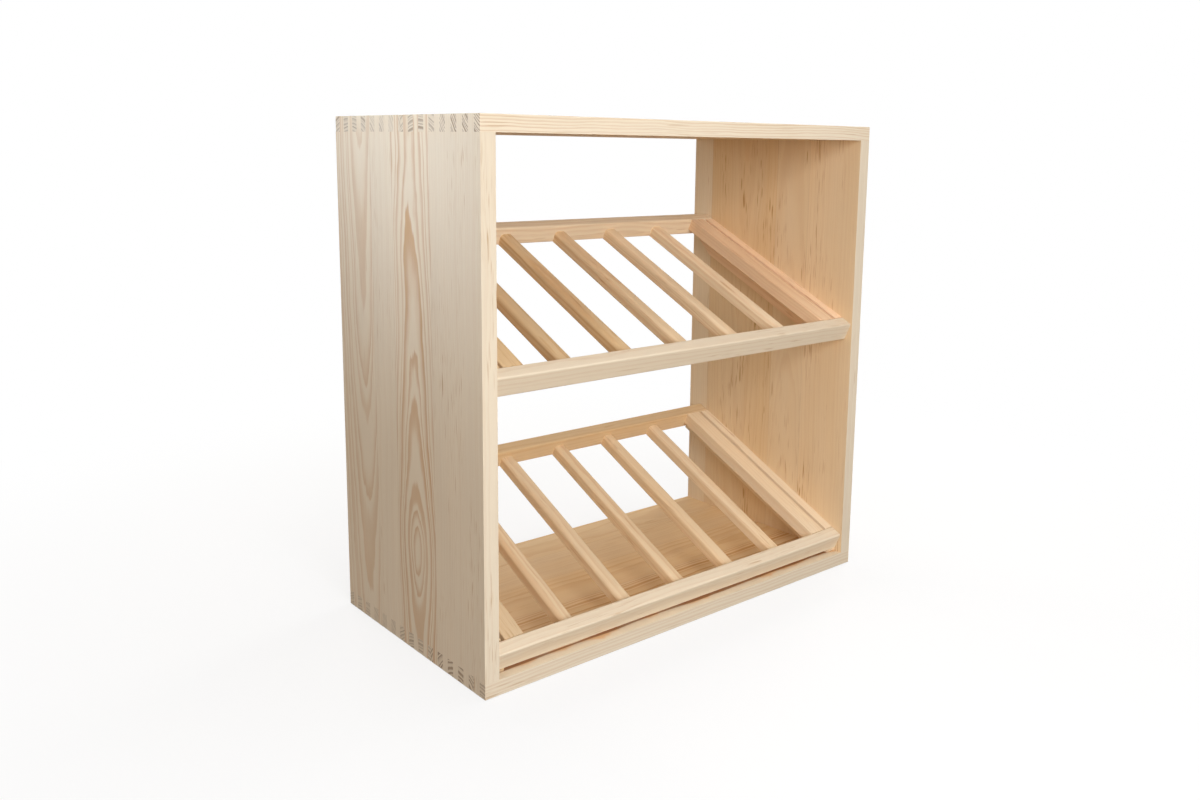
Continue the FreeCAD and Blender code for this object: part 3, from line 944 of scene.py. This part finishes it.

# %% [markdown]
# No two bars were cut from the same plank. The front rails are pale and the slats are honey coloured.
# Each slat takes a step from its neighbour in seed and tone, and in the upper tray in warmth too. The
# steps in tone and warmth are painted light: the slats get paler from left to right, because the left
# panel shades the slats beside it. The end slat on the upper right and its bearer are pink.

# %% Wood of each bar
BAR_VALUES = {
    "upper_front_rail": dict(seed=101.3, warmth=0.12, contrast=0.22, tone=0.03),
    "upper_back_rail": dict(seed=106.6, warmth=0.45, contrast=0.40, tone=0.10),
    "lower_front_rail": dict(seed=111.9, warmth=0.15, contrast=0.25, tone=0.07),
    "lower_back_rail": dict(seed=117.2, warmth=1.20, contrast=0.30),
    "upper_slat": dict(seed=130.4, warmth=1.30, contrast=0.50, tone=0.00),
    "lower_slat": dict(seed=164.9, warmth=0.85, contrast=0.40, tone=0.11),
    "upper_left_end_slat": dict(seed=201.1, warmth=1.2, contrast=0.25),
    "upper_right_end_slat": dict(seed=207.5, warmth=0.80, contrast=0.30, tone=0.18, blush=0.8),
    "lower_left_end_slat": dict(seed=213.8, warmth=1.0, contrast=0.25),
    "lower_right_end_slat": dict(seed=219.6, warmth=0.60, contrast=0.20, tone=0.18),
    "upper_left_bearer": dict(seed=231.0, warmth=1.2, contrast=0.25),
    # Its high tone is painted light, which lightens the shade under the end slat; the pink is its wood.
    "upper_right_bearer": dict(seed=236.7, warmth=0.8, contrast=0.25, tone=0.24, blush=0.8),
    # Its low tone is painted shade, which darkens its lit front end in the corner.
    "lower_left_bearer": dict(seed=242.2, warmth=0.9, contrast=0.25, tone=-0.10),
    "lower_right_bearer": dict(seed=248.9, warmth=0.40, contrast=0.20, tone=0.14),
}
# The steps in tone and warmth are painted light, paler away from the shading left panel.
SLAT_STEPS = {
    "upper_slat": dict(seed=5.3, tone=0.065, warmth=-0.18),
    "lower_slat": dict(seed=5.3, tone=0.02),
}
RAIL_PITH = dict(pith_across=0.06, pith_depth=-0.25)
BAR_PITH = dict(pith_across=0.05, pith_depth=0.04)
COMMON = dict(ring=0.0065, marks=0.7)

for name, values in BAR_VALUES.items():
    pith = RAIL_PITH if "rail" in name else BAR_PITH
    steps = SLAT_STEPS.get(name, {})
    members = [node for node in bars if node == name or (steps and node.startswith(f"{name}_"))]
    for number, node in enumerate(sorted(members)):
        own = dict(values)
        for key, step in steps.items():
            own[key] += step * number
        finish_bar(node, **COMMON, **pith, **own)
    print(name, "made", len(members))

# %% [markdown]
# Two wood screws hold each bearer to its side panel. Only their heads can be seen, and only with the
# tray lifted out. Their solids are right as they are, so they stay and just get another material:
# zinc plated steel, a little dull and blotchy.

# %% Screw steel
ZINC_DARK = (0.52, 0.50, 0.47, 1)
ZINC_LIGHT = (0.72, 0.71, 0.68, 1)
ZINC_WAVES = 700.0
ZINC_ROUGH = 0.22
ZINC_UNEVEN = 0.25

steel = bpy.data.materials.new("screw_zinc")
steel.use_nodes = True
tree = steel.node_tree
shader = tree.nodes["Principled BSDF"]
shader.inputs["Metallic"].default_value = 1.0
blotch = tree.nodes.new("ShaderNodeTexNoise")
blotch.inputs["Scale"].default_value = ZINC_WAVES
tree.links.new(tree.nodes.new("ShaderNodeTexCoord").outputs["Object"], blotch.inputs["Vector"])
zinc = blend_node(tree, blotch.outputs[0], ZINC_DARK, ZINC_LIGHT)
tree.links.new(zinc, shader.inputs["Base Color"])
rough = math_node(tree, "MULTIPLY_ADD", blotch.outputs[0], ZINC_UNEVEN, ZINC_ROUGH)
tree.links.new(rough, shader.inputs["Roughness"])
screws = [node for node in nodes if node.endswith("_screws")]
for node in screws:
    for slot in nodes[node].material_slots:
        slot.material = steel
print("screw pieces", len(screws))
